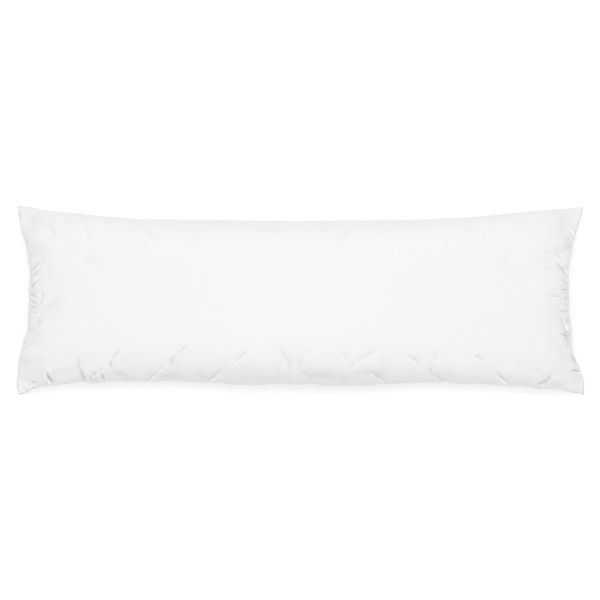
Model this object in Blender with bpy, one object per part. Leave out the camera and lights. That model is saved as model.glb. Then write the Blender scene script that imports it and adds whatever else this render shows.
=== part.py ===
"""Body pillow: two woven panels sewn together round the rim and filled, modelled as one solid.

It lies on its back with its face up: length along X, width along Y, the front long seam at -Y.
The seams are drawn in between four pointed ears, both panels swell from the seam line, and the
lower panel is flat where the pillow rests. Metres; the origin is under the middle, on the floor.
"""
from collections import namedtuple

import bmesh
import bpy
import numpy as np
from mathutils import Vector

MM = 0.001

# Finished size, from ear tip to ear tip, and the height of the seam above the floor
LENGTH = 1.324
WIDTH = 0.444
SEAM_HEIGHT = 0.088
FLOOR_EASE = 0.008

# How each panel swells from the seams: height over the middle (up or down from the seam line),
# reach from an end seam, how round and how blunt the swell is beside the end seams and the long
# seams, and the share of the height that is lost by the ends. The lower panel would reach below
# the floor, which presses it flat.
PanelForm = namedtuple("PanelForm", "height end_reach end_round end_blunt long_round long_blunt loss")
FACE = PanelForm(0.107, 0.10, 3.0, 0.62, 6.0, 0.62, 0.55)
BACK = PanelForm(-0.117, 0.20, 2.2, 0.74, 2.4, 0.60, 0.0)
LONG_REACH = WIDTH / 2
SEAM_DROP = 0.012

# The ears: where the swell thins out towards a tip, and how far a tip sags below the seam
EAR_REACH = 0.10
EAR_SAG = 0.016
EAR_SAG_REACH = 0.24

# Ear tips are a little out of square: (x, y) of each tip from the middle
FRONT_LEFT = Vector((-0.659, -0.222))
FRONT_RIGHT = Vector((0.662, -0.220))
BACK_LEFT = Vector((-0.664, 0.222))
BACK_RIGHT = Vector((0.663, 0.220))

# Grid of one panel, and how much closer its lines stand near the seams (0 even, 1 closest)
CELLS_ALONG = 100
CELLS_ACROSS = 28
GRADING = 0.6

# Each seam: share of the way along it, and millimetres drawn in from the line between its tips.
# The long seams run left to right, the end seams front to back.
SeamRow = namedtuple("SeamRow", "along inward")
FRONT_SEAM = [
    SeamRow(0.00, 0), SeamRow(0.03, 18), SeamRow(0.07, 27), SeamRow(0.20, 32), SeamRow(0.28, 33),
    SeamRow(0.43, 25), SeamRow(0.50, 26), SeamRow(0.60, 23), SeamRow(0.70, 30), SeamRow(0.81, 26),
    SeamRow(0.90, 19), SeamRow(0.96, 10), SeamRow(1.00, 0),
]
BACK_SEAM = [
    SeamRow(0.00, 0), SeamRow(0.02, 2), SeamRow(0.05, 11), SeamRow(0.11, 21), SeamRow(0.18, 30),
    SeamRow(0.30, 34), SeamRow(0.60, 35), SeamRow(0.75, 31), SeamRow(0.85, 22), SeamRow(0.93, 11),
    SeamRow(1.00, 0),
]
LEFT_SEAM = [
    SeamRow(0.00, 0), SeamRow(0.06, -4), SeamRow(0.16, 1), SeamRow(0.25, 12), SeamRow(0.36, 24),
    SeamRow(0.48, 27), SeamRow(0.62, 29), SeamRow(0.72, 26), SeamRow(0.88, 10), SeamRow(0.94, 3),
    SeamRow(1.00, 0),
]
RIGHT_SEAM = [
    SeamRow(0.00, 0), SeamRow(0.05, -1), SeamRow(0.12, 8), SeamRow(0.21, 24), SeamRow(0.32, 32),
    SeamRow(0.48, 36), SeamRow(0.62, 37), SeamRow(0.73, 32), SeamRow(0.80, 24), SeamRow(0.87, 15),
    SeamRow(0.92, 8), SeamRow(0.96, 3), SeamRow(1.00, 0),
]

# Folds in the face, millimetres from the middle: start, end, width across and depth.
# Along the front they lean towards the middle of the pillow; at the ends they leave the seam.
Fold = namedtuple("Fold", "x0 y0 x1 y1 width depth")
FRONT_FOLDS = [
    Fold(-598, -166, -582, -194, 26, 8),
    Fold(-526, -126, -500, -188, 32, 8),
    Fold(-478, -158, -456, -190, 26, 8),
    Fold(-448, -156, -423, -120, 28, 5),
    Fold(-362, -187, -327, -160, 28, 6),
    Fold(-305, -154, -262, -100, 30, 6),
    Fold(-216, -187, -180, -156, 28, 6),
    Fold(-156, -148, -120, -104, 32, 5),
    Fold(-63, -106, -32, -178, 36, 5),
    Fold(90, -112, 124, -158, 36, 5),
    Fold(190, -114, 140, -150, 36, 4),
    Fold(148, -164, 199, -194, 30, 5),
    Fold(248, -122, 276, -160, 30, 6),
    Fold(298, -156, 339, -191, 30, 6),
    Fold(402, -118, 428, -146, 30, 5),
    Fold(456, -170, 484, -197, 28, 7),
    Fold(560, -198, 588, -170, 28, 8),
]
BACK_FOLDS = [
    Fold(-507, 168, -486, 130, 36, 4),
    Fold(-371, 170, -334, 134, 36, 4),
    Fold(94, 168, 122, 136, 36, 4),
    Fold(420, 160, 440, 140, 36, 3),
]
END_FOLDS = [
    Fold(-642, 104, -606, 112, 26, 4),
    Fold(-634, 36, -600, 94, 28, 6),
    Fold(-638, 6, -582, 0, 30, 8),
    Fold(-642, -62, -604, -46, 28, 6),
    Fold(638, 112, 606, 126, 26, 4),
    Fold(626, 56, 568, 90, 30, 7),
    Fold(624, 8, 556, 20, 30, 8),
    Fold(628, -98, 598, -22, 28, 6),
    Fold(654, -152, 612, -128, 28, 5),
]
FOLD_FADE_AT_SEAM = 0.012


def remove_objects():
    """Start from an empty scene."""
    for item in list(bpy.data.objects):
        bpy.data.objects.remove(item, do_unlink=True)


def pillow_collection():
    """The collection that holds the part."""
    collection = bpy.data.collections.new("body_pillow")
    bpy.context.scene.collection.children.link(collection)
    return collection


def cover_material():
    """White woven cotton, quite matt."""
    material = bpy.data.materials.new("cover_cloth")
    material.use_nodes = True
    shader = material.node_tree.nodes["Principled BSDF"]
    shader.inputs["Base Color"].default_value = (0.90, 0.90, 0.90, 1.0)
    shader.inputs["Roughness"].default_value = 0.88
    shader.inputs["Metallic"].default_value = 0.0
    return material


def graded(share):
    """Move an even share of the way so that the grid lines crowd towards both seams."""
    even = 2.0 * share - 1.0
    crowded = np.sin(np.pi / 2 * even)
    return 0.5 + 0.5 * ((1.0 - GRADING) * even + GRADING * crowded)


def drawn_in(seam, along):
    """Metres that a seam lies inside the line between its tips, on a smooth curve by its rows."""
    stops = np.array([row.along for row in seam])
    values = np.array([row.inward for row in seam]) * MM
    slopes = np.gradient(values, stops)
    first = int(np.clip(np.searchsorted(stops, along) - 1, 0, len(seam) - 2))
    span = stops[first + 1] - stops[first]
    t = (along - stops[first]) / span
    ease = t * t * (3.0 - 2.0 * t)
    start_pull = span * slopes[first] * t * (1.0 - t) ** 2
    end_pull = span * slopes[first + 1] * t * t * (t - 1.0)
    return values[first] * (1.0 - ease) + values[first + 1] * ease + start_pull + end_pull


def plan_point(along, across):
    """Place on the plan of a panel, as a patch stretched between the four seams."""
    front = FRONT_LEFT.lerp(FRONT_RIGHT, along) + Vector((0, drawn_in(FRONT_SEAM, along)))
    back = BACK_LEFT.lerp(BACK_RIGHT, along) - Vector((0, drawn_in(BACK_SEAM, along)))
    left = FRONT_LEFT.lerp(BACK_LEFT, across) + Vector((drawn_in(LEFT_SEAM, across), 0))
    right = FRONT_RIGHT.lerp(BACK_RIGHT, across) - Vector((drawn_in(RIGHT_SEAM, across), 0))
    flat_front = FRONT_LEFT.lerp(FRONT_RIGHT, along)
    flat_back = BACK_LEFT.lerp(BACK_RIGHT, along)
    return front.lerp(back, across) + left.lerp(right, along) - flat_front.lerp(flat_back, across)


def smooth_step(share):
    """A smooth way from 0 to 1."""
    share = min(share, 1.0)
    return share * share * (3.0 - 2.0 * share)


def rise(distance, reach, roundness, bluntness):
    """Share of the full height at a distance from a seam."""
    open_part = 1.0 - min(distance / reach, 1.0)
    return (1.0 - open_part ** roundness) ** bluntness


def seam_distances(along, across):
    """Distances to the nearer end seam and to the nearer long seam."""
    return min(along, 1.0 - along) * LENGTH, min(across, 1.0 - across) * WIDTH


def seam_line(along, across):
    """Height of the seam line: it drops a little towards the ends, and the ears sag."""
    off_middle = (2.0 * along - 1.0) ** 2
    to_tip = np.hypot(*seam_distances(along, across))
    sag = EAR_SAG * (1.0 - min(to_tip / EAR_SAG_REACH, 1.0)) ** 2
    return SEAM_HEIGHT - SEAM_DROP * off_middle - sag


def panel_height(form, along, across):
    """Height of a panel above the floor: it swells from the seams and thins out in the ears."""
    to_end, to_long = seam_distances(along, across)
    off_middle = (2.0 * along - 1.0) ** 2
    swell = form.height * (1.0 - form.loss * 2.0 * off_middle / (off_middle + 1.0))
    swell *= rise(to_end, form.end_reach, form.end_round, form.end_blunt)
    swell *= rise(to_long, LONG_REACH, form.long_round, form.long_blunt)
    swell *= smooth_step(np.hypot(to_end, to_long) / EAR_REACH)
    return seam_line(along, across) + swell


def fold_depth(folds, x, y):
    """Inward movement that a set of folds gives at a plan place: a trough with soft shoulders."""
    depth = 0.0
    here = Vector((x, y))
    for fold in folds:
        start = Vector((fold.x0, fold.y0)) * MM
        run = Vector((fold.x1, fold.y1)) * MM - start
        share = min(max((here - start).dot(run) / run.length_squared, 0.0), 1.0)
        aside = (here - start - run * share).length / (fold.width * MM / 2)
        taper = 1.0 - 0.6 * abs(2.0 * share - 1.0) ** 3
        depth += fold.depth * MM * taper * (1.0 - aside ** 2) * np.exp(-aside ** 2)
    return depth


def eased_to_floor(height):
    """Height after the floor has pressed the cloth flat, with a soft turn at the edge."""
    if height >= FLOOR_EASE:
        return height
    return max(height + FLOOR_EASE, 0.0) ** 2 / (4.0 * FLOOR_EASE)


def add_panel(bm, form, folds):
    """One panel: a grid stretched between the seams, swollen and folded."""
    grid = bmesh.ops.create_grid(bm, x_segments=CELLS_ALONG, y_segments=CELLS_ACROSS, size=1.0)
    panel = grid["verts"]
    if form.height < 0:
        bmesh.ops.reverse_faces(bm, faces=list({face for v in panel for face in v.link_faces}))
    seam_clearance = {}
    for vert in panel:
        along = graded(0.5 + 0.5 * vert.co.x)
        across = graded(0.5 + 0.5 * vert.co.y)
        place = plan_point(along, across)
        vert.co = (place.x, place.y, panel_height(form, along, across))
        seam_clearance[vert] = min(seam_distances(along, across))
    bm.normal_update()
    moves = {}
    for vert in panel:
        fade = min(seam_clearance[vert] / FOLD_FADE_AT_SEAM, 1.0)
        moves[vert] = vert.normal * fade * fold_depth(folds, vert.co.x, vert.co.y)
    for vert, move in moves.items():
        vert.co -= move
        vert.co.z = eased_to_floor(vert.co.z)


def open_ear_tips(bm):
    """Cut each cell at a tip from the tip inwards, so that the panels part right from the tip."""
    tips = [vert for vert in bm.verts if len(vert.link_edges) == 2]
    tip_loops = [loop for tip in tips for loop in tip.link_loops]
    cuts = [(loop.vert, loop.link_loop_next.link_loop_next.vert) for loop in tip_loops]
    for tip, inner in cuts:
        bmesh.ops.connect_verts(bm, verts=[tip, inner])


def centre_on_floor(bm):
    """Put the middle of the bounding box's underside at the origin."""
    places = np.array([vert.co for vert in bm.verts])
    low, high = places.min(axis=0), places.max(axis=0)
    middle = Vector(((low[0] + high[0]) / 2, (low[1] + high[1]) / 2, low[2]))
    bmesh.ops.translate(bm, verts=bm.verts, vec=-middle)


def make_pillow(collection):
    """Both panels, welded round the rim into one closed body."""
    bm = bmesh.new()
    add_panel(bm, FACE, FRONT_FOLDS + BACK_FOLDS + END_FOLDS)
    add_panel(bm, BACK, END_FOLDS)
    bmesh.ops.remove_doubles(bm, verts=bm.verts, dist=0.01 * MM)
    open_ear_tips(bm)
    centre_on_floor(bm)
    mesh = bpy.data.meshes.new("pillow")
    bm.to_mesh(mesh)
    bm.free()
    mesh.shade_smooth()
    mesh.materials.append(cover_material())
    collection.objects.link(bpy.data.objects.new("pillow", mesh))


remove_objects()
make_pillow(pillow_collection())
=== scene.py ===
"""Body pillow: the looks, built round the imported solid.

The cover is two cloth panels sewn together round the rim. They start as flat grids, are laid on the
pillow's form, and are blown out by a cloth simulation whose rest lengths are the flat cut. Then the
seams are scalloped, and the creases, puffs and ripples are pressed in. Metres, +Z up, the front long
seam at -Y.
"""
from collections import namedtuple

import bmesh
import bpy
import numpy as np
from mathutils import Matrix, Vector, noise


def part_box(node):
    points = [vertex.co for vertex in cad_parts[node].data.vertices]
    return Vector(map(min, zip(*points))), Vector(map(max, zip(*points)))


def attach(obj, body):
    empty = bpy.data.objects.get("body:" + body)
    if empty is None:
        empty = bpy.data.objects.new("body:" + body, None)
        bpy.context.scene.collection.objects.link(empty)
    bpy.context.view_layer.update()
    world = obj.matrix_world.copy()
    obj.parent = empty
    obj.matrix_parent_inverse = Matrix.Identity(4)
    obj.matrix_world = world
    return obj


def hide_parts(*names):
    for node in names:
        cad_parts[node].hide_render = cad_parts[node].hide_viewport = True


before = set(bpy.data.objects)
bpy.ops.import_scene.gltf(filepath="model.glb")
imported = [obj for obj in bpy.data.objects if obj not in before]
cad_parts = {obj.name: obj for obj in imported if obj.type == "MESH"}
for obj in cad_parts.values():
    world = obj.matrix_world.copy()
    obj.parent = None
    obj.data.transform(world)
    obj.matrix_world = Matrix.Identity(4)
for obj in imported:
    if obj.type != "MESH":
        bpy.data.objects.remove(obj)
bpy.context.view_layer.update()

MM = 0.001
LOW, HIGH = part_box("pillow")
LENGTH = HIGH.x - LOW.x
WIDTH = HIGH.y - LOW.y
LOFT = HIGH.z - LOW.z

# ---------------------------------------------------------------- the pillow's form
# The flat cut of each panel, and how far apart the two lie as they are cut, in widths of the cut
CUT_LENGTH = 1.372
CUT_WIDTH = 0.508
CUT_APART = 1.1

# The seam's height over the middle, its drop by the ends, and the soft turn where the floor presses
SEAM_HEIGHT = 0.451 * LOFT
SEAM_DROP = 0.012
FLOOR_EASE = 0.008

# How each panel swells from the seams: full height over the middle, reach from an end seam, how
# round and how blunt the swell is beside the end seams and the long seams, and the share of the
# height that the panel has lost by the ends. The back panel would reach below the floor.
PanelForm = namedtuple("PanelForm", "height end_reach end_round end_blunt long_round long_blunt loss")
FACE = PanelForm(LOFT - SEAM_HEIGHT, 0.10, 3.0, 0.62, 6.0, 0.62, 0.55)
BACK = PanelForm(-0.6 * LOFT, 0.20, 2.2, 0.74, 2.4, 0.60, 0.0)
LONG_REACH = WIDTH / 2

# The ears: out to where the swell thins towards a tip, and how far a tip sags and out to where
EAR_REACH = 0.084
EAR_SAG = 0.016
EAR_SAG_REACH = 0.24

# Ear tips, as millimetres in from the corners of the box: (from the left or right, front or back)
TIP_INSET = {
    "front_left": (4.6, 0.0),
    "front_right": (1.6, 2.0),
    "back_left": (0.0, 0.0),
    "back_right": (0.6, 2.0),
}

# Each seam: share of the way along it, and millimetres drawn in from the line between its tips.
# The long seams run left to right, the end seams front to back.
SeamRow = namedtuple("SeamRow", "along inward")
FRONT_SEAM = [
    SeamRow(0.00, 0), SeamRow(0.03, 18), SeamRow(0.07, 27), SeamRow(0.20, 32), SeamRow(0.28, 33),
    SeamRow(0.43, 25), SeamRow(0.50, 26), SeamRow(0.60, 23), SeamRow(0.70, 30), SeamRow(0.81, 26),
    SeamRow(0.90, 19), SeamRow(0.96, 10), SeamRow(1.00, 0),
]
BACK_SEAM = [
    SeamRow(0.00, 0), SeamRow(0.02, 2), SeamRow(0.05, 11), SeamRow(0.11, 21), SeamRow(0.18, 30),
    SeamRow(0.30, 34), SeamRow(0.60, 35), SeamRow(0.75, 31), SeamRow(0.85, 22), SeamRow(0.93, 11),
    SeamRow(1.00, 0),
]
LEFT_SEAM = [
    SeamRow(0.00, 0), SeamRow(0.06, -4), SeamRow(0.16, 1), SeamRow(0.25, 12), SeamRow(0.36, 24),
    SeamRow(0.48, 27), SeamRow(0.62, 29), SeamRow(0.72, 26), SeamRow(0.88, 10), SeamRow(0.94, 3),
    SeamRow(1.00, 0),
]
RIGHT_SEAM = [
    SeamRow(0.00, 0), SeamRow(0.05, -1), SeamRow(0.12, 8), SeamRow(0.21, 24), SeamRow(0.32, 32),
    SeamRow(0.48, 36), SeamRow(0.62, 37), SeamRow(0.73, 32), SeamRow(0.80, 24), SeamRow(0.87, 15),
    SeamRow(0.92, 8), SeamRow(0.96, 3), SeamRow(1.00, 0),
]

# ---------------------------------------------------------------- the creases in the face
# Each was read from the photograph, in millimetres from the middle as the camera sees it:
# start, end, how far the run bows to its left, half width and depth. A crease with root 1 runs out
# of the seam at full depth; one with root 0 dies away at both ends. Lip says how strongly a
# highlight is painted into the colour along the crease's front side, where the cloth rises into a
# lip: 0 paints no highlight, as on a soft fold, and below 0 the lip is on the other side.
Crease = namedtuple("Crease", "x0 y0 x1 y1 bow width depth root lip")
FRONT_CREASES = [
    Crease(-581, -196, -595, -167, 2, 3.4, 10.0, 1, 0.5),
    Crease(-598, -201, -588, -194, 0, 2.4, 4.0, 0, 1),
    Crease(-628, -208, -621, -190, 0, 2.6, 8.0, 1, 1),
    Crease(-588, -167, -585, -136, 0, 4.0, 1.6, 0, 1),
    Crease(-500, -191, -522, -127, 4.5, 4.5, 5.4, 1, -0.8),
    Crease(-472, -190, -494, -188, 0, 2.8, 5.0, 0, 0),
    Crease(-492, -190, -488, -177, 0, 2.2, 4.0, 0, 1),
    Crease(-486, -180, -476, -170, 0, 2.2, 4.5, 0, 1),
    Crease(-474, -175, -469, -153, -2, 3.0, 2.2, 0, -0.6),
    Crease(-455, -191, -464, -171, 0, 2.8, 6.5, 1, -1),
    Crease(-444, -162, -443, -140, 0, 2.4, 4.5, 0, 1),
    Crease(-444, -145, -420, -118, 1, 2.4, 4.5, 0, 1.2),
    Crease(-417, -157, -418, -134, 0, 4.5, 1.4, 0, 0),
    Crease(-449, -169, -381, -188, 0, 7.0, 2.6, 0, 0),
    Crease(-358, -191, -332, -164, -1, 2.6, 3.8, 1, 1.3),
    Crease(-334, -167, -316, -156, 0, 3.0, 2.2, 0, 0.8),
    Crease(-340, -184, -270, -180, 0, 9.0, 2.4, 0, 0),
    Crease(-302, -160, -292, -129, 3, 2.6, 4.6, 0, 1),
    Crease(-292, -134, -260, -101, 0, 3.0, 3.4, 0, 0.9),
    Crease(-248, -171, -215, -188, 0, 7.0, 2.2, 0, 0),
    Crease(-215, -190, -182, -157, -4, 2.6, 4.2, 1, 1.2),
    Crease(-156, -150, -123, -117, 0, 3.6, 3.2, 0, 0.5),
    Crease(-26, -174, -59, -106, -8, 6.5, 2.6, 0, 0),
    Crease(0, -171, 3, -127, 3, 6.0, 2.2, 0, 0),
    Crease(1, -134, 25, -118, 2, 6.5, 1.4, 0, 0),
    Crease(20, -182, 1, -167, 0, 3.0, 2.8, 0, 0.8),
    Crease(4, -180, 106, -182, 0, 10.0, 2.6, 0, 0),
    Crease(90, -199, 111, -183, 0, 5.0, 2.2, 0, 0),
    Crease(122, -162, 123, -143, 0, 3.4, 2.6, 0, 0.6),
    Crease(118, -148, 92, -120, 0, 7.0, 2.0, 0, 0),
    Crease(130, -146, 186, -119, 3, 8.0, 2.0, 0, 0.2),
    Crease(104, -174, 214, -176, 0, 11.0, 2.0, 0, 0),
    Crease(202, -197, 151, -167, -3, 3.4, 3.8, 1, 0.5),
    Crease(225, -190, 213, -195, 0, 3.0, 4.0, 0, 0),
    Crease(276, -162, 251, -131, -5, 3.0, 3.8, 0, 1),
    Crease(305, -174, 300, -156, 0, 2.4, 3.2, 0, 0),
    Crease(340, -194, 304, -170, 2, 3.2, 4.4, 1, 0.3),
    Crease(308, -146, 323, -118, 0, 8.0, 2.0, 0, 0),
    Crease(430, -147, 406, -128, -1, 2.8, 4.2, 0, 1),
    Crease(483, -196, 454, -169, 1, 2.8, 4.4, 1, 1),
    Crease(558, -199, 586, -171, -5, 3.4, 6.6, 1, 0),
    Crease(561, -200, 578, -199, 0, 2.2, 4.0, 0, 0),
    Crease(587, -202, 608, -208, 0, 2.6, 3.6, 0, 0.8),
]
LEFT_CREASES = [
    Crease(-649, 141, -640, 128, 0, 3.0, 3.0, 1, 1),
    Crease(-639, 101, -625, 103, 0, 3.2, 4.0, 1, 1),
    Crease(-630, 67, -598, 93, 3.5, 2.8, 4.0, 1, 1.8),
    Crease(-630, 50, -600, 78, 2.5, 2.8, 3.6, 1, 1.6),
    Crease(-631, 34, -630, 62, 0, 2.0, 2.5, 0, 1),
    Crease(-627, 30, -602, 53, 2, 2.8, 4.5, 1, 1.4),
    Crease(-636, 33, -622, 28, 0, 2.4, 4.5, 1, 1),
    Crease(-637, 13, -620, 7, 0, 3.0, 7.5, 1, 1),
    Crease(-610, 7, -600, 15, 0, 2.4, 3.5, 0, 1),
    Crease(-619, -15, -602, 3, -2, 2.6, 3.5, 0, 1),
    Crease(-636, -5, -617, -10, 2, 2.6, 5.5, 1, 0.8),
    Crease(-637, -26, -617, -14, 0, 2.4, 4.5, 1, 1),
    Crease(-635, -31, -615, -33, 3, 2.2, 3.2, 0, 1),
    Crease(-610, -50, -614, -36, 0, 2.2, 2.4, 0, -1.2),
    Crease(-625, -58, -609, -49, 0, 2.2, 3.2, 0, 1.5),
    Crease(-618, -64, -601, -53, 2, 2.4, 2.4, 0, 1.5),
    Crease(-639, -64, -632, -76, 0, 2.4, 4.5, 1, 0),
    Crease(-642, -82, -625, -65, 0, 2.4, 3.0, 1, 1.5),
    Crease(-649, -103, -640, -100, 0, 2.4, 4.0, 1, 1),
    Crease(-651, -113, -643, -110, 0, 2.4, 4.0, 1, 1),
    Crease(-655, -124, -646, -120, 0, 2.4, 3.5, 1, 1),
    Crease(-608, -42, -545, 14, 0, 14.0, 1.8, 0, 0),
]
RIGHT_CREASES = [
    Crease(640, 131, 609, 178, -7, 2.4, 2.2, 1, -1),
    Crease(641, 128, 617, 117, 0, 7.0, 3.5, 1, 0),
    Crease(634, 136, 626, 147, 0, 2.4, 2.5, 0, -1.5),
    Crease(573, 108, 590, 108, 0, 2.6, 1.4, 0, 1.6),
    Crease(609, 95, 599, 112, 0, 2.2, 3.2, 0, 1),
    Crease(623, 57, 591, 88, -5, 2.6, 5.5, 1, -1.6),
    Crease(590, 88, 571, 86, 0, 3.0, 1.8, 0, 1.5),
    Crease(626, 35, 615, 47, 0, 2.4, 5.5, 1, 1),
    Crease(626, 22, 604, 24, 0, 2.2, 5.0, 1, 1),
    Crease(627, 12, 616, 18, 0, 2.4, 5.0, 1, 0.8),
    Crease(612, 9, 578, 9, 1, 2.6, 3.2, 0, 1.2),
    Crease(627, 0, 614, 6, 0, 2.4, 5.5, 1, 0.8),
    Crease(626, -12, 612, -10, 0, 2.2, 3.5, 1, 0.8),
    Crease(627, -25, 604, -25, 0, 2.2, 4.5, 1, -1.2),
    Crease(631, -117, 600, -23, -4.5, 2.4, 4.0, 0, -0.3),
    Crease(628, -50, 617, -40, 0, 2.2, 5.0, 1, 0.8),
    Crease(627, -52, 612, -50, 0, 2.2, 3.5, 1, -0.5),
    Crease(630, -102, 625, -68, 0, 2.0, 4.5, 0, 0),
    Crease(624, -94, 614, -78, 0, 2.8, 6.5, 0, 0),
    Crease(617, -82, 603, -81, 0, 2.2, 3.2, 0, 1),
    Crease(626, -113, 622, -96, 0, 2.4, 3.8, 0, 0.6),
    Crease(644, -147, 630, -126, 0, 3.4, 11.5, 1, 0),
    Crease(652, -168, 628, -165, 0, 2.4, 6.5, 1, 1),
]
BACK_CREASES = [
    Crease(-584, 138, -569, 160, 0, 3.4, 1.8, 0, 1.8),
    Crease(-507, 168, -486, 130, 0, 5.5, 1.6, 0, 0.3),
    Crease(-371, 170, -334, 134, 0, 5.5, 1.6, 0, 0.3),
    Crease(122, 170, 94, 136, 0, 5.5, 1.6, 0, 0.3),
    Crease(170, 145, 182, 164, 0, 5.0, 1.2, 0, 0.3),
    Crease(422, 142, 435, 163, 0, 5.0, 1.2, 0, 0.3),
    Crease(496, 149, 510, 168, 0, 5.0, 1.2, 0, 0.3),
    Crease(-508, 93, -474, 80, 0, 8.0, 1.0, 0, 0),
    Crease(464, 99, 492, 76, 0, 8.0, 1.0, 0, 0),
]
CREASES = FRONT_CREASES + LEFT_CREASES + RIGHT_CREASES + BACK_CREASES

# The creases that cross the seam into the back panel, where they are softer
ROOTED_CREASES = [crease for crease in CREASES if crease.root]
BACK_PANEL_WIDEN = 2.4
BACK_PANEL_DEPTH = 1.1

# Along a crease: its steps, how fast it tapers from a root or to both its ends, and the share of
# its width that is left where it has tapered to nothing
CREASE_STEPS = 40
ROOT_TAPER = 3
END_TAPER = 0.8
LEAST_WIDTH = 0.4

# Across a crease, in its own widths: the trough, the lip in front of it and the soft bank behind it
CREASE_REACH = 9.0
CREASE_SHARPNESS = 1.5
CREASE_LIP = 0.40
CREASE_LIP_OFFSET = 1.9
CREASE_LIP_WIDTH = 0.8
CREASE_BANK = 0.45
CREASE_BANK_REACH = 3.5
CREASE_BANK_SHARPNESS = 1.3

# How shade and highlight are painted into the cloth's colour: painted shade in a fold and a painted
# highlight on its lip, which lie in the crease's own widths. The marks are at full strength in a deep
# fold and fade out at the seam.
MARK_OFFSET = -0.35
MARK_WIDTH = 0.75
LIP_MARK = 0.7
LIP_OFFSET = 0.95
LIP_WIDTH = 0.55
DEEP_FOLD = 0.006
MARK_FADE = 0.003

# How unsteady a crease's line is
CREASE_WANDER = 0.0016
CREASE_WANDER_PITCH = 0.011

# The share of a crease that reaches the seam, and from how far it fades to that
CREASE_AT_SEAM = 0.3
CREASE_FADE = 0.008

# ---------------------------------------------------------------- the mesh and the cloth
# The grid of a panel, how much its lines crowd towards the seams (0 even, 1 most), and how near
# vertices are sewn together. The side layer is 1 on the face panel and the seam, and -1 on the back.
CELLS_ALONG = 200
CELLS_ACROSS = 80
GRADING = 0.25
SEWN_WITHIN = 0.0001
ON_FACE = 0.99

# Where the mesh is finer: out to a reach from a seam or a crease, no edge is longer than a length.
# Both are in metres for the seams and in widths of the crease for the creases.
FineRow = namedtuple("FineRow", "reach longest")
FINE_BESIDE_SEAMS = [FineRow(0.013, 0.005), FineRow(0.005, 0.0028)]
FINE_BESIDE_CREASES = [FineRow(4.0, 1.3), FineRow(1.6, 0.55)]
FINEST_EDGE = 0.0012
COARSEST_EDGE = 1.0
FINE_ROUNDS = 3

# What the cloth starts from: slight unevenness beside the seams, which it gathers into puckers that
# run straight away from them, and the creases, wider and shallower and fading out at the seams
PUCKER_PITCH = 0.02
PUCKER_STRETCH = 3.0
PUCKER_HEIGHT = 0.006
PUCKER_END_GAIN = 1.6
PUCKER_END_REACH = 0.05
PUCKER_LONG_REACH = 0.06
PUCKER_START = 0.006
SEED_WIDEN = 2.2
SEED_SHARE = 0.5
SEED_FADE = 0.01

# The cloth, which is held at the seam and where it rests on the floor
CLOTH_FRAMES = 16
CLOTH_SETTINGS = {
    "quality": 5,
    "mass": 0.15,
    "tension_stiffness": 40.0,
    "compression_stiffness": 40.0,
    "shear_stiffness": 10.0,
    "bending_stiffness": 0.1,
    "tension_damping": 5.0,
    "compression_damping": 5.0,
    "shear_damping": 5.0,
    "bending_damping": 0.5,
    "air_damping": 2.0,
    "use_pressure": True,
    "uniform_pressure_force": 3.0,
    "pin_stiffness": 1.0,
}
SEAM_WITHIN = 0.000001
RESTS_BELOW = 0.0001

# What is kept of the cloth's moves: what is left of them once their broad part is taken off, near
# the seams, clear of the ear tips, and no more than a most
SPREAD_ROUNDS = 150
PUCKER_BORDER = 0.07
SMOOTH_EAR = 0.12
MOST_MOVE = 0.008

# Soft puffs beside the seams, from a start to a reach away from them
PUFF_PITCH = 0.075
PUFF_HEIGHT = 0.0028
BACK_PUFF_HEIGHT = 0.006
PUFF_REACH = 0.075
PUFF_START = 0.02

# How far the seams wander sideways, and how much more up and down, clear of the tips
SCALLOP_PITCH = 0.045
SCALLOP_HEIGHT = 0.0045
SCALLOP_REACH = 0.018
SCALLOP_LIFT = 1.5
SCALLOP_CLEARANCE = 0.04
BACK_SEAM_SCALLOP = 0.35

# Small ripples right beside the seam, and the groove that the stitching pulls in
GATHER_PITCH = 0.009
GATHER_HEIGHT = 0.0008
GATHER_REACH = 0.012
GATHER_START = 0.002
GROOVE_PLACE = 0.0035
GROOVE_WIDTH = 0.0018
GROOVE_DEPTH = 0.0009
GROOVE_START = 0.001

# Layers of the noise, one for each thing that is uneven
WANDER_LAYERS = (3.3, 8.8)
LONG_PUCKER_LAYER = 10.0
PUFF_LAYER = 21.0
GATHER_LAYER = 35.0
END_PUCKER_LAYER = 50.0
SCALLOP_LAYER = 61.0
SCALLOP_LIFT_LAYER = 67.0

# ---------------------------------------------------------------- the photograph's view
# In pixels: the photograph's side, the pillow's length, and how far right of the middle it lies
PHOTO_PIXELS = 600
PILLOW_PIXELS = 568.8
PILLOW_RIGHT = 0.75
METRES_PER_PIXEL = LENGTH / PILLOW_PIXELS

# The camera, which is aimed at the middle of the pillow, a little below the seam
CAMERA_ELEVATION = 88.0
CAMERA_DISTANCE = 5.0
AIM_BELOW_SEAM = 0.006
SENSOR = 36.0

# ---------------------------------------------------------------- the studio
# A white sky, a light overhead and one behind the pillow, and a sheet of white paper under it
HORIZON_GLOW = 0.6
ZENITH_GLOW = 1.0
AreaLight = namedtuple("AreaLight", "name place size watts")
OVERHEAD = AreaLight("overhead", (0.0, 0.35, 2.9), (3.0, 1.5), 28.0)
BEHIND = AreaLight("behind", (0.0, 3.0, 0.45), (3.0, 0.6), 4.0)
LIGHT_TARGET = (0.0, 0.0, 0.1)
WHITE = (1.0, 1.0, 1.0)
FLOOR_SIZE = 40.0
FLOOR_GAP = 0.3 * MM
FLOOR_COLOUR = (0.9, 0.9, 0.9)
FLOOR_ROUGHNESS = 0.95
FLOOR_GLOW = 0.12

# ---------------------------------------------------------------- the cover's cloth
# Colours: the cover's own and the share by which it varies to each side, then the colours painted in as
# shade and highlight
COVER_COLOUR = (0.80, 0.80, 0.80)
COVER_SPREAD = 0.1
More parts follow.
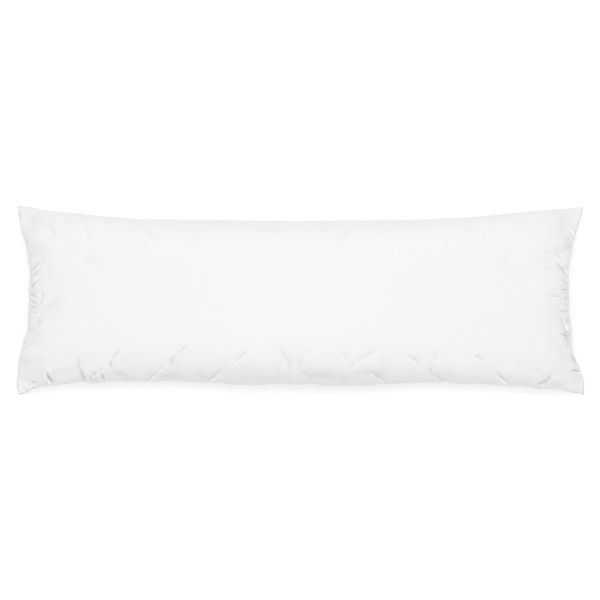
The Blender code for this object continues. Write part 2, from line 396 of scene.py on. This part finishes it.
# The colour of the painted shade in the folds of the creases
FOLD_SHADOW_COLOUR = (0.50, 0.50, 0.50)
# The colour of the painted highlight on the lips of the creases
LIP_HIGHLIGHT_COLOUR = (0.93, 0.93, 0.93)
# The colour of the painted shade along the seam's line
SEAM_SHADE_COLOUR = (0.55, 0.55, 0.55)

# How strongly the painted shade in folds, the painted highlight on lips and the painted shade on the
# seam's line take their colours
FOLD_SHADE = 0.5
LIP_HIGHLIGHT = 2.4
SEAM_SHADE = 0.8
SEAM_SHADE_REACH = 0.0010
# How much the painted shade on the seam's line varies along it, and over what pitch
SEAM_SHADE_VARIATION = 0.3
SEAM_SHADE_VARIATION_PITCH = 0.05

# The threads, the thicker stretches in them, the crumple and the mottle
THREAD_PITCH = 0.00055
THREAD_RELIEF = 0.00004
SLUB_LENGTH = 0.018
SLUB_WIDTH = 0.0011
SLUB_TINT = 0.07
SLUB_RELIEF = 0.00008
CRUMPLE_PITCH = 0.03
CRUMPLE_RELIEF = 0.0004
MOTTLE_PITCH = 0.16
MOTTLE_TINT = 0.02
COVER_ROUGHNESS = 0.86
ROUGHNESS_SPREAD = 0.08
SHEEN_WEIGHT = 0.08
SHEEN_ROUGHNESS = 0.5

# Sockets of a Mix node that mixes colours
MIX_ONE, MIX_OTHER, MIX_RESULT = 6, 7, 2


def drawn_in(seam, along):
    """Metres that a seam lies inside the line between its tips, on a smooth curve by its rows."""
    stops = np.array([row.along for row in seam])
    values = np.array([row.inward for row in seam]) * MM
    slopes = np.gradient(values, stops)
    first = np.clip(np.searchsorted(stops, along) - 1, 0, len(seam) - 2)
    span = stops[first + 1] - stops[first]
    t = (along - stops[first]) / span
    ease = t * t * (3.0 - 2.0 * t)
    start_pull = span * slopes[first] * t * (1.0 - t) ** 2
    end_pull = span * slopes[first + 1] * t * t * (t - 1.0)
    return values[first] * (1.0 - ease) + values[first + 1] * ease + start_pull + end_pull


def tip(name):
    """Plan place of an ear tip, from the corner of the box that it reaches into."""
    inset_x, inset_y = (inset * MM for inset in TIP_INSET[name])
    x = LOW.x + inset_x if name.endswith("left") else HIGH.x - inset_x
    y = LOW.y + inset_y if name.startswith("front") else HIGH.y - inset_y
    return np.array((x, y))


def between(start, end, share):
    """Points on the straight line between two places, or between two rows of places."""
    share = share[:, None]
    return start * (1.0 - share) + end * share


def plan_points(along, across):
    """Plan places on a panel, as a patch stretched between the four seams."""
    flat_front = between(tip("front_left"), tip("front_right"), along)
    flat_back = between(tip("back_left"), tip("back_right"), along)
    nothing = np.zeros_like(along)
    front = flat_front + np.column_stack((nothing, drawn_in(FRONT_SEAM, along)))
    back = flat_back - np.column_stack((nothing, drawn_in(BACK_SEAM, along)))
    left = between(tip("front_left"), tip("back_left"), across)
    left = left + np.column_stack((drawn_in(LEFT_SEAM, across), nothing))
    right = between(tip("front_right"), tip("back_right"), across)
    right = right - np.column_stack((drawn_in(RIGHT_SEAM, across), nothing))
    corners = between(flat_front, flat_back, across)
    return between(front, back, across) + between(left, right, along) - corners


def smooth_step(share):
    """A share held between 0 and 1 and eased at both."""
    share = np.clip(share, 0.0, 1.0)
    return share * share * (3.0 - 2.0 * share)


def ramp(distance, reach):
    """Share that grows evenly from 0 at a seam or a tip to 1 at a reach away from it."""
    return np.minimum(distance / reach, 1.0)


def rise(distance, reach, roundness, bluntness):
    """Share of the full swell at a distance from a seam."""
    open_part = 1.0 - ramp(distance, reach)
    return (1.0 - open_part ** roundness) ** bluntness


def seam_distances(along, across):
    """Distances to the nearer end seam and to the nearer long seam."""
    return np.minimum(along, 1.0 - along) * LENGTH, np.minimum(across, 1.0 - across) * WIDTH


def seam_distance(along, across):
    """Distance to the nearest seam."""
    return np.minimum(*seam_distances(along, across))


def clear_of_ears(along, across):
    """Share of the puckers and puffs that a place takes: none at an ear tip, all clear of the ears."""
    return smooth_step(np.hypot(*seam_distances(along, across)) / SMOOTH_EAR)


def seam_line(along, across):
    """Height of the seam line: it drops a little towards the ends, and the ears sag."""
    off_middle = (2.0 * along - 1.0) ** 2
    to_tip = np.hypot(*seam_distances(along, across))
    sag = EAR_SAG * (1.0 - ramp(to_tip, EAR_SAG_REACH)) ** 2
    return SEAM_HEIGHT - SEAM_DROP * off_middle - sag


def panel_swell(form, along, across):
    """How far a panel stands from the seam line: it swells from the seams and is thin in the ears."""
    to_end, to_long = seam_distances(along, across)
    off_middle = (2.0 * along - 1.0) ** 2
    swell = form.height * (1.0 - form.loss * 2.0 * off_middle / (off_middle + 1.0))
    swell = swell * rise(to_end, form.end_reach, form.end_round, form.end_blunt)
    swell = swell * rise(to_long, LONG_REACH, form.long_round, form.long_blunt)
    return swell * smooth_step(np.hypot(to_end, to_long) / EAR_REACH)


def form_points(along, across, on_face):
    """Places on the pillow's smooth form, on its face panel or its back panel."""
    face, back = panel_swell(FACE, along, across), panel_swell(BACK, along, across)
    heights = seam_line(along, across) + np.where(on_face, face, back)
    return np.column_stack((plan_points(along, across), heights))


def eased_to_floor(points):
    """Points after the floor has pressed the cloth flat, with a soft turn at the edge."""
    pressed = points.copy()
    height = points[:, 2]
    turned = np.maximum(height + FLOOR_EASE, 0.0) ** 2 / (4.0 * FLOOR_EASE)
    pressed[:, 2] = np.where(height >= FLOOR_EASE, height, turned)
    return pressed


def camera_place():
    """Where the camera stands, and the level of the pillow that it is aimed at."""
    elevation = np.radians(CAMERA_ELEVATION)
    aim_height = SEAM_HEIGHT - AIM_BELOW_SEAM
    out, up = CAMERA_DISTANCE * np.cos(elevation), CAMERA_DISTANCE * np.sin(elevation)
    return np.array((0.0, -out, aim_height + up)), aim_height


def as_seen(points):
    """Plan places where the camera sees points, on the level that it is aimed at."""
    eye, level = camera_place()
    shrink = (eye[2] - level) / (eye[2] - points[:, 2])
    return eye[:2] + (points[:, :2] - eye[:2]) * shrink[:, None]


def crease_line(crease):
    """Places along a crease: from end to end, bowed to the left of its run."""
    start = np.array((crease.x0, crease.y0)) * MM
    run = np.array((crease.x1, crease.y1)) * MM - start
    left = np.array((-run[1], run[0])) / np.linalg.norm(run)
    share = np.linspace(0.0, 1.0, CREASE_STEPS)[:, None]
    return start + share * run + 4.0 * share * (1.0 - share) * crease.bow * MM * left


def near_line(line, reach, places):
    """Which places lie within reach of a line, and for each its nearest step and its gap to it."""
    low, high = line.min(axis=0) - reach, line.max(axis=0) + reach
    near = np.flatnonzero(np.all((places > low) & (places < high), axis=1))
    gaps = places[near, None, :] - line[None, :, :]
    steps = np.argmin((gaps ** 2).sum(axis=2), axis=1)
    return near, steps, gaps[np.arange(len(near)), steps]


def bell(offset, middle, width):
    """A smooth hump, 1 at its middle and almost nothing two widths away."""
    return np.exp(-((offset - middle) / width) ** 2)


def crease_profile(forward):
    """Depth across a crease of unit width: a trough with a lip in front and a soft bank behind."""
    trough = np.exp(-np.abs(forward) ** CREASE_SHARPNESS)
    lip = CREASE_LIP * bell(forward, CREASE_LIP_OFFSET, CREASE_LIP_WIDTH)
    bank = np.exp(-np.abs(forward / CREASE_BANK_REACH) ** CREASE_BANK_SHARPNESS)
    behind = (1.0 - CREASE_BANK) * trough + CREASE_BANK * bank
    return np.where(forward > 0, trough - lip, behind)


def press_lines(points, creases, widen=1.0):
    """Inward movement at points of the cover, and how deep in a fold (below 0: on its lip) each is,
    which sets the painted shade there (below 0: the painted highlight).
    """
    places = wandering(as_seen(points))
    depths = np.zeros(len(places))
    shade_and_highlight_marks = np.zeros(len(places))
    for crease in creases:
        width = crease.width * MM * widen
        line = crease_line(crease)
        runs = np.gradient(line, axis=0)
        runs = runs / np.linalg.norm(runs, axis=1)[:, None]
        near, steps, gaps = near_line(line, CREASE_REACH * width, places)
        run = runs[steps]
        past_end = (gaps * run).sum(axis=1) / width
        aside = (run[:, 0] * gaps[:, 1] - run[:, 1] * gaps[:, 0]) / width
        to_front = -1.0 if (crease.x1 > crease.x0) == (crease.lip >= 0) else 1.0
        share = steps / (CREASE_STEPS - 1)
        taper = 1.0 - share ** ROOT_TAPER if crease.root else np.sin(np.pi * share) ** END_TAPER
        forward = to_front * aside / (LEAST_WIDTH + (1.0 - LEAST_WIDTH) * taper)
        strength = crease.depth * MM * taper * np.exp(-past_end ** 2)
        depths[near] += strength * crease_profile(forward)
        # What is painted into the colour: a highlight on the lip, and shade in the fold
        lip = LIP_MARK * abs(crease.lip) * bell(forward, LIP_OFFSET, LIP_WIDTH)
        mark = bell(forward, MARK_OFFSET, MARK_WIDTH) - lip
        shade_and_highlight_marks[near] += strength / DEEP_FOLD * mark
    return depths, shade_and_highlight_marks


def uneven(places, along_pitch, across_pitch, layer):
    """Smooth unevenness between -1 and 1 at plan places, of two pitches; each layer is different."""
    scaled = places / np.array((along_pitch, across_pitch))
    return np.array([noise.noise((x, y, layer)) for x, y in scaled])


def wandering(places):
    """Places moved a little unevenly, so that what is drawn by them isn't quite straight."""
    pitch = CREASE_WANDER_PITCH
    moves = [uneven(places, pitch, pitch, layer) for layer in WANDER_LAYERS]
    return places + CREASE_WANDER * np.column_stack(moves)


def graded(share):
    """Move an even share of the way so that the grid lines crowd towards both seams."""
    even = 2.0 * share - 1.0
    crowded = np.sin(np.pi / 2 * even)
    return 0.5 + 0.5 * ((1.0 - GRADING) * even + GRADING * crowded)


def cut_panels():
    """The two flat panels, one grid each, sewn together round the rim.

    A UV map in metres lays the panels out as they are cut, the back panel behind the face panel.
    """
    bm = bmesh.new()
    layers = {name: bm.verts.layers.float.new(name) for name in ("along", "across", "side")}
    cut = bm.loops.layers.uv.new("cut")
    for side in (1.0, -1.0):
        panel = bmesh.ops.create_grid(bm, x_segments=CELLS_ALONG, y_segments=CELLS_ACROSS, size=1.0)
        for vert in panel["verts"]:
            vert[layers["along"]] = graded(0.5 + 0.5 * vert.co.x)
            vert[layers["across"]] = graded(0.5 + 0.5 * vert.co.y)
            vert[layers["side"]] = 1.0 if vert.is_boundary else side
            for loop in vert.link_loops:
                row = vert[layers["across"]] + (0.0 if side > 0 else CUT_APART)
                loop[cut].uv = (vert[layers["along"]] * CUT_LENGTH, row * CUT_WIDTH)
        if side < 0:
            faces = {face for vert in panel["verts"] for face in vert.link_faces}
            bmesh.ops.reverse_faces(bm, faces=list(faces))
    rim = [vert for vert in bm.verts if vert.is_boundary]
    bmesh.ops.remove_doubles(bm, verts=rim, dist=SEWN_WITHIN)
    mesh = bpy.data.meshes.new("pillow_cover")
    bm.to_mesh(mesh)
    bm.free()
    return mesh


def read_points(mesh):
    """Vertex places of a mesh as rows."""
    places = np.empty(len(mesh.vertices) * 3)
    mesh.vertices.foreach_get("co", places)
    return places.reshape(-1, 3)


def write_points(mesh, points):
    """Move a mesh's vertices to the given rows."""
    mesh.vertices.foreach_set("co", points.ravel())
    mesh.update()


def read_normals(mesh):
    """Vertex normals of a mesh as rows."""
    normals = np.empty(len(mesh.vertices) * 3)
    mesh.vertex_normals.foreach_get("vector", normals)
    return normals.reshape(-1, 3)


def read_edges(mesh):
    """The two vertices of each edge, as rows."""
    ends = np.empty(len(mesh.edges) * 2, dtype=np.int32)
    mesh.edges.foreach_get("vertices", ends)
    return ends.reshape(-1, 2).T


def read_layer(mesh, name):
    """A vertex attribute as an array."""
    values = np.empty(len(mesh.vertices), dtype=np.float32)
    mesh.attributes[name].data.foreach_get("value", values)
    return values.astype(float)


def write_layer(mesh, name, values):
    """Keep an array as a vertex attribute."""
    layer = mesh.attributes.new(name, "FLOAT", "POINT")
    layer.data.foreach_set("value", values.astype(np.float32))


def read_shares(mesh):
    """Where on its panel each vertex lies, and whether that is the face panel (or the seam)."""
    on_face = read_layer(mesh, "side") > ON_FACE
    return read_layer(mesh, "along"), read_layer(mesh, "across"), on_face


def sink(mesh, depths):
    """Move the vertices inwards along their normals."""
    write_points(mesh, read_points(mesh) - read_normals(mesh) * depths[:, None])


def seed_puckers(mesh):
    """Make the smooth form slightly uneven beside the seams, and press the creases in faintly."""
    along, across, on_face = read_shares(mesh)
    points = read_points(mesh)
    plan = points[:, :2]
    to_end, to_long = seam_distances(along, across)
    beside_end = np.exp(-to_end / PUCKER_END_REACH) * (1.0 - np.exp(-to_end / PUCKER_START))
    beside_long = np.exp(-to_long / PUCKER_LONG_REACH) * (1.0 - np.exp(-to_long / PUCKER_START))
    stretched = PUCKER_STRETCH * PUCKER_PITCH
    ends = PUCKER_END_GAIN * uneven(plan, stretched, PUCKER_PITCH, END_PUCKER_LAYER)
    longs = uneven(plan, PUCKER_PITCH, stretched, LONG_PUCKER_LAYER)
    puckers = PUCKER_HEIGHT * (ends * beside_end + longs * beside_long)
    depths = press_lines(points, CREASES, SEED_WIDEN)[0]
    creases = np.where(on_face, SEED_SHARE * depths, 0.0)
    sink(mesh, puckers + creases * ramp(seam_distance(along, across), SEED_FADE))


def spread_out(mesh, moves):
    """The broad part of a set of moves: each vertex takes on its neighbours' mean, many times over."""
    one, other = read_edges(mesh)
    count = len(moves)
    neighbours = np.bincount(one, minlength=count) + np.bincount(other, minlength=count)
    for _ in range(SPREAD_ROUNDS):
        sums = [
            np.bincount(one, axis[other], count) + np.bincount(other, axis[one], count)
            for axis in moves.T
        ]
        moves = (moves + np.column_stack(sums) / neighbours[:, None]) / 2
    return moves


def settle(pillow, flat, held):
    """Places of the cover once its cloth has settled between its form and its flat cut."""
    pillow.shape_key_add(name="form")
    cut = pillow.shape_key_add(name="cut")
    cut.data.foreach_set("co", flat.ravel())
    group = pillow.vertex_groups.new(name="held")
    group.add(np.flatnonzero(held).tolist(), 1.0, "REPLACE")
    cloth = pillow.modifiers.new("cloth", "CLOTH")
    for name, value in CLOTH_SETTINGS.items():
        setattr(cloth.settings, name, value)
    cloth.settings.effector_weights.gravity = 0.0
    cloth.settings.rest_shape_key = cut
    cloth.settings.vertex_group_mass = group.name
    cloth.collision_settings.use_collision = False
    cloth.point_cache.frame_start = 1
    cloth.point_cache.frame_end = CLOTH_FRAMES
    for frame_number in range(1, CLOTH_FRAMES + 1):
        bpy.context.scene.frame_set(frame_number)
    settled = read_points(pillow.evaluated_get(bpy.context.evaluated_depsgraph_get()).data)
    pillow.modifiers.remove(cloth)
    pillow.shape_key_clear()
    pillow.vertex_groups.clear()
    bpy.context.scene.frame_set(1)
    return settled


def gather(pillow):
    """Let the cloth settle, and keep the puckers that it gathers beside the seams."""
    mesh = pillow.data
    along, across, _ = read_shares(mesh)
    to_seam = seam_distance(along, across)
    form = read_points(mesh)
    cut_x, cut_y = (along - 0.5) * CUT_LENGTH, (across - 0.5) * CUT_WIDTH
    flat = np.column_stack((cut_x, cut_y, np.zeros_like(along)))
    held = (to_seam < SEAM_WITHIN) | (form[:, 2] < RESTS_BELOW)
    moves = settle(pillow, flat, held) - form
    puckers = moves - spread_out(mesh, moves)
    kept = MOST_MOVE / np.maximum(np.linalg.norm(puckers, axis=1), MOST_MOVE)
    border = bell(to_seam, 0.0, PUCKER_BORDER) * clear_of_ears(along, across)
    write_points(mesh, form + puckers * (kept * border)[:, None])


def longest_edges(mesh):
    """The longest edge that each vertex may have: short beside the seams and the creases."""
    along, across, on_face = read_shares(mesh)
    to_seam = seam_distance(along, across)
    longest = np.full(len(to_seam), COARSEST_EDGE)
    for row in FINE_BESIDE_SEAMS:
        longest[to_seam < row.reach] = row.longest
    places = as_seen(read_points(mesh))
    for crease in CREASES:
        line = crease_line(crease)
        for row in FINE_BESIDE_CREASES:
            reach = row.reach * crease.width * MM
            near, _, gaps = near_line(line, reach, places)
            near = near[(np.hypot(gaps[:, 0], gaps[:, 1]) < reach) & on_face[near]]
            edge = max(row.longest * crease.width * MM, FINEST_EDGE)
            longest[near] = np.minimum(longest[near], edge)
    return longest


def finer(mesh):
    """Halve the edges that are too long for the folds they cross."""
    one, other = read_edges(mesh)
    points, longest = read_points(mesh), longest_edges(mesh)
    lengths = np.linalg.norm(points[one] - points[other], axis=1)
    too_long = lengths > np.maximum(longest[one], longest[other])
    bm = bmesh.new()
    bm.from_mesh(mesh)
    bm.edges.ensure_lookup_table()
    edges = [bm.edges[index] for index in np.flatnonzero(too_long)]
    bmesh.ops.subdivide_edges(bm, edges=edges, cuts=1, use_grid_fill=True)
    bm.to_mesh(mesh)
    bm.free()


def scallop_seams(mesh):
    """Let the seams wander a little, sideways and up and down, between the folds that pull at them."""
    along, across, _ = read_shares(mesh)
    points = read_points(mesh)
    to_end, to_long = seam_distances(along, across)
    beside_end = SCALLOP_HEIGHT * bell(to_end, 0.0, SCALLOP_REACH)
    beside_long = SCALLOP_HEIGHT * bell(to_long, 0.0, SCALLOP_REACH)
    beside_long = beside_long * np.where(across > 0.5, BACK_SEAM_SCALLOP, 1.0)
    clear_of_tips = smooth_step((to_end + to_long) / SCALLOP_CLEARANCE)
    wander = uneven(points[:, :2], SCALLOP_PITCH, SCALLOP_PITCH, SCALLOP_LAYER)
    points[:, 1] += clear_of_tips * beside_long * wander
    points[:, 0] += clear_of_tips * beside_end * wander
    lift = uneven(points[:, :2], SCALLOP_PITCH, SCALLOP_PITCH, SCALLOP_LIFT_LAYER)
    points[:, 2] += SCALLOP_LIFT * clear_of_tips * np.maximum(beside_long, beside_end) * lift
    write_points(mesh, points)


def press_creases(mesh):
    """Press in the creases, the puffs between them, and the ripples and the groove beside the seam."""
    along, across, on_face = read_shares(mesh)
    points = read_points(mesh)
    plan = points[:, :2]
    to_seam = seam_distance(along, across)
    face_depths, shade_and_highlight_marks = press_lines(points, CREASES)
    back_depths = press_lines(points, ROOTED_CREASES, BACK_PANEL_WIDEN)[0]
    fade = CREASE_AT_SEAM + (1.0 - CREASE_AT_SEAM) * ramp(to_seam, CREASE_FADE)
    creases = np.where(on_face, face_depths, BACK_PANEL_DEPTH * back_depths) * fade
    near_seam = bell(to_seam, 0.0, PUFF_REACH) * smooth_step(to_seam / PUFF_START)
    near_seam = near_seam * clear_of_ears(along, across)
    puff_height = np.where(on_face, PUFF_HEIGHT, BACK_PUFF_HEIGHT)
    puffs = puff_height * uneven(plan, PUFF_PITCH, PUFF_PITCH, PUFF_LAYER) * near_seam
    ripples = GATHER_HEIGHT * uneven(plan, GATHER_PITCH, GATHER_PITCH, GATHER_LAYER)
    ripples = ripples * np.exp(-to_seam / GATHER_REACH) * ramp(to_seam, GATHER_START)
    groove = GROOVE_DEPTH * bell(to_seam, GROOVE_PLACE, GROOVE_WIDTH) * ramp(to_seam, GROOVE_START)
    sink(mesh, creases + puffs + ripples + groove)
    # The fold layer, for the painted shade in folds and the painted highlight on their lips
    write_layer(mesh, "fold", np.where(on_face, shade_and_highlight_marks, 0.0) * ramp(to_seam, MARK_FADE))


def lift_to_floor(mesh):
    """Raise what the folds have pushed below the floor up to it."""
    points = read_points(mesh)
    points[:, 2] = np.maximum(points[:, 2], LOW.z)
    write_points(mesh, points)


def make_pillow():
    """The cover: its panels laid on the form, settled, and given the shapes of its seams and folds."""
    mesh = cut_panels()
    write_points(mesh, eased_to_floor(form_points(*read_shares(mesh))))
    pillow = bpy.data.objects.new("pillow_cover", mesh)
    bpy.context.scene.collection.objects.link(pillow)
    seed_puckers(mesh)
    gather(pillow)
    for _ in range(FINE_ROUNDS):
        finer(mesh)
    scallop_seams(mesh)
    press_creases(mesh)
    lift_to_floor(mesh)
    mesh.shade_smooth()
    return pillow


class Number:
    """A number in a finish, so that shader maths reads as plain arithmetic."""

    def __init__(self, finish, socket):
        self.finish = finish
        self.socket = socket

    def maths(self, operation, first, second):
        node = self.finish.add("ShaderNodeMath", {"operation": operation}, {0: first, 1: second})
        return Number(self.finish, node.outputs[0])

    def __add__(self, other):
        return self.maths("ADD", self, other)

    def __radd__(self, other):
        return self.maths("ADD", other, self)

    def __sub__(self, other):
        return self.maths("SUBTRACT", self, other)

    def __rsub__(self, other):
        return self.maths("SUBTRACT", other, self)

    def __mul__(self, other):
        return self.maths("MULTIPLY", self, other)

    def __rmul__(self, other):
        return self.maths("MULTIPLY", other, self)

    def at_least(self, other):
        return self.maths("MAXIMUM", self, other)

    def at_most(self, other):
        return self.maths("MINIMUM", self, other)

    def remainder(self, other):
        return self.maths("MODULO", self, other)

    def sine(self):
        return self.maths("SINE", self, 0.0)


class Finish:
    """A material under construction: its nodes are added and joined up one by one."""

    def __init__(self, name):
        self.material = bpy.data.materials.new(name)
        self.material.use_nodes = True
        self.tree = self.material.node_tree
        self.shader = self.tree.nodes["Principled BSDF"]

    def feed(self, socket, value):
        """Join a socket up to another, or set it."""
        value = getattr(value, "socket", value)
        if isinstance(value, bpy.types.NodeSocket):
            self.tree.links.new(value, socket)
        else:
            socket.default_value = value

    def add(self, kind, settings, sockets):
        """A new node with its settings and then its sockets, given by name or by place."""
        node = self.tree.nodes.new(kind)
        for name, value in settings.items():
            setattr(node, name, value)
        for name, value in sockets.items():
            self.feed(node.inputs[name], value)
        return node

    def surface(self, sockets):
        """Set or join up sockets of the shader."""
        for name, value in sockets.items():
            self.feed(self.shader.inputs[name], value)

    def number(self, kind, settings, sockets, output=0):
        """A new node's output as a number."""
        return Number(self, self.add(kind, settings, sockets).outputs[output])

    def attribute(self, name):
        return self.number("ShaderNodeAttribute", {"attribute_name": name}, {}, "Fac")

    def mapped(self, place, stretch):
        """Coordinates stretched by a factor along each axis."""
        mapping = self.add("ShaderNodeMapping", {}, {"Vector": place, "Scale": stretch})
        return mapping.outputs["Vector"]

    def noise(self, place, detail):
        """Noise between -1 and 1, one unit of the coordinates to a bump."""
        sockets = {"Vector": place, "Scale": 1.0, "Detail": detail}
        return self.number("ShaderNodeTexNoise", {}, sockets) * 2.0 - 1.0

    def mix(self, share, one, other):
        """One colour turning into another."""
        settings = {"data_type": "RGBA"}
        node = self.add("ShaderNodeMix", settings, {"Factor": share, MIX_ONE: one, MIX_OTHER: other})
        return node.outputs[MIX_RESULT]

    def bump(self, height):
        """A normal from a height in metres."""
        return self.add("ShaderNodeBump", {}, {"Height": height, "Distance": 1.0}).outputs["Normal"]


def opaque(colour):
    """A colour with full alpha."""
    return (*colour, 1.0)


def floor_paper():
    """White paper that glows a little, so that it is as bright as the photograph's plain ground."""
    finish = Finish("floor_paper")
    finish.surface({
        "Base Color": opaque(FLOOR_COLOUR),
        "Roughness": FLOOR_ROUGHNESS,
        "Emission Color": opaque(WHITE),
        "Emission Strength": FLOOR_GLOW,
    })
    return finish.material


def to_cut_edge(warp, weft):
    """Metres along the cloth from a place on either panel to the nearest edge of its cut."""
    across = (weft * (1.0 / CUT_WIDTH)).remainder(CUT_APART) * CUT_WIDTH
    return warp.at_most(CUT_LENGTH - warp).at_most(across.at_most(CUT_WIDTH - across))


def cover_cloth():
    """White cotton in a plain weave with thicker threads in it, with painted shade in its folds and
    along its seam and a painted highlight on its crease lips.
    """
    finish = Finish("cover_cloth")
    cut = finish.add("ShaderNodeUVMap", {"uv_map": "cut"}, {}).outputs["UV"]
    place = finish.add("ShaderNodeTexCoord", {}, {}).outputs["Object"]
    # The fold layer: above 0 where shade is painted into a fold, below 0 where a highlight is painted
    # on its lip
    fold = finish.attribute("fold")

    axes = finish.add("ShaderNodeSeparateXYZ", {}, {"Vector": cut})
    warp, weft = Number(finish, axes.outputs["X"]), Number(finish, axes.outputs["Y"])
    turn = np.pi / THREAD_PITCH
    weave = (warp * turn).sine() * (weft * turn).sine()
    thick, thin = 1.0 / SLUB_WIDTH, 1.0 / SLUB_LENGTH
    warp_slubs = finish.noise(finish.mapped(cut, (thin, thick, 1.0)), detail=1.0)
    weft_slubs = finish.noise(finish.mapped(cut, (thick, thin, 1.0)), detail=1.0)
    slubs = warp_slubs + weft_slubs
    crumple = finish.noise(finish.mapped(place, (1.0 / CRUMPLE_PITCH,) * 3), detail=3.0)
    mottle = finish.noise(finish.mapped(place, (1.0 / MOTTLE_PITCH,) * 3), detail=2.0)

    tint = 0.5 + slubs * SLUB_TINT + mottle * MOTTLE_TINT
    spread = [channel * COVER_SPREAD for channel in COVER_COLOUR]
    dark = opaque([channel - step for channel, step in zip(COVER_COLOUR, spread)])
    light = opaque([channel + step for channel, step in zip(COVER_COLOUR, spread)])
    cloth = finish.mix(tint, dark, light)
    # Painted highlight on the lips of the creases, then painted shade in their folds
    lip_highlighted = finish.mix((0.0 - fold).at_least(0.0) * LIP_HIGHLIGHT, cloth, opaque(LIP_HIGHLIGHT_COLOUR))
    fold_shaded = finish.mix(fold.at_least(0.0) * FOLD_SHADE, lip_highlighted, opaque(FOLD_SHADOW_COLOUR))
    # Painted shade along the seam: a thin dark line whose strength varies along it
    shade_variation = finish.noise(finish.mapped(place, (1.0 / SEAM_SHADE_VARIATION_PITCH,) * 3), detail=1.0)
    shade_varied = 1.0 - SEAM_SHADE_VARIATION + shade_variation * SEAM_SHADE_VARIATION
    seam = (1.0 - to_cut_edge(warp, weft) * (1.0 / SEAM_SHADE_REACH)).at_least(0.0)
    seam_shaded = finish.mix(seam * shade_varied * SEAM_SHADE, fold_shaded, opaque(SEAM_SHADE_COLOUR))
    relief = weave * THREAD_RELIEF + slubs * SLUB_RELIEF + crumple * CRUMPLE_RELIEF
    finish.surface({
        "Base Color": seam_shaded,
        "Roughness": COVER_ROUGHNESS + slubs * ROUGHNESS_SPREAD,
        "Normal": finish.bump(relief),
        "Sheen Weight": SHEEN_WEIGHT,
        "Sheen Roughness": SHEEN_ROUGHNESS,
    })
    return finish.material


def add_floor():
    """A sheet of paper just under the pillow, which only the pictures show."""
    bm = bmesh.new()
    bmesh.ops.create_grid(bm, x_segments=1, y_segments=1, size=FLOOR_SIZE / 2)
    mesh = bpy.data.meshes.new("floor")
    bm.to_mesh(mesh)
    bm.free()
    mesh.materials.append(floor_paper())
    floor = bpy.data.objects.new("floor", mesh)
    floor.location.z = LOW.z - FLOOR_GAP
    bpy.context.scene.collection.objects.link(floor)


def aim(thing, target):
    """Point an object's -Z at a place, with its top towards +Y."""
    thing.rotation_mode = "QUATERNION"
    thing.rotation_quaternion = (Vector(target) - thing.location).to_track_quat("-Z", "Y")


def add_camera():
    """The photograph's view, from almost straight above the face."""
    data = bpy.data.cameras.new("camera")
    data.sensor_width = SENSOR
    data.lens = SENSOR * CAMERA_DISTANCE / (PHOTO_PIXELS * METRES_PER_PIXEL)
    data.shift_x = -PILLOW_RIGHT / PHOTO_PIXELS
    camera = bpy.data.objects.new("camera", data)
    eye, level = camera_place()
    camera.location = eye
    bpy.context.scene.collection.objects.link(camera)
    aim(camera, (0.0, 0.0, level))
    bpy.context.scene.camera = camera


def add_area_light(row):
    """A rectangular light that shines on the pillow and does not show."""
    data = bpy.data.lights.new(row.name, "AREA")
    data.shape = "RECTANGLE"
    data.size, data.size_y = row.size
    data.energy = row.watts
    light = bpy.data.objects.new(row.name, data)
    light.location = row.place
    light.visible_camera = False
    bpy.context.scene.collection.objects.link(light)
    aim(light, LIGHT_TARGET)


def add_sky():
    """A white dome, dim at the horizon and bright overhead."""
    world = bpy.data.worlds.new("studio")
    bpy.context.scene.world = world
    world.use_nodes = True
    tree = world.node_tree
    background = tree.nodes["Background"]
    background.inputs["Color"].default_value = opaque(WHITE)
    place = tree.nodes.new("ShaderNodeTexCoord")
    parts = tree.nodes.new("ShaderNodeSeparateXYZ")
    climb = tree.nodes.new("ShaderNodeMapRange")
    climb.inputs["To Min"].default_value = HORIZON_GLOW
    climb.inputs["To Max"].default_value = ZENITH_GLOW
    tree.links.new(place.outputs["Generated"], parts.inputs["Vector"])
    tree.links.new(parts.outputs["Z"], climb.inputs["Value"])
    tree.links.new(climb.outputs["Result"], background.inputs["Strength"])


def add_lights():
    add_sky()
    add_area_light(OVERHEAD)
    add_area_light(BEHIND)


bpy.context.scene.view_settings.view_transform = "Standard"
add_camera()
add_lights()
add_floor()
pillow = make_pillow()
pillow.data.materials.append(cover_cloth())
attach(pillow, "root")
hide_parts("pillow")
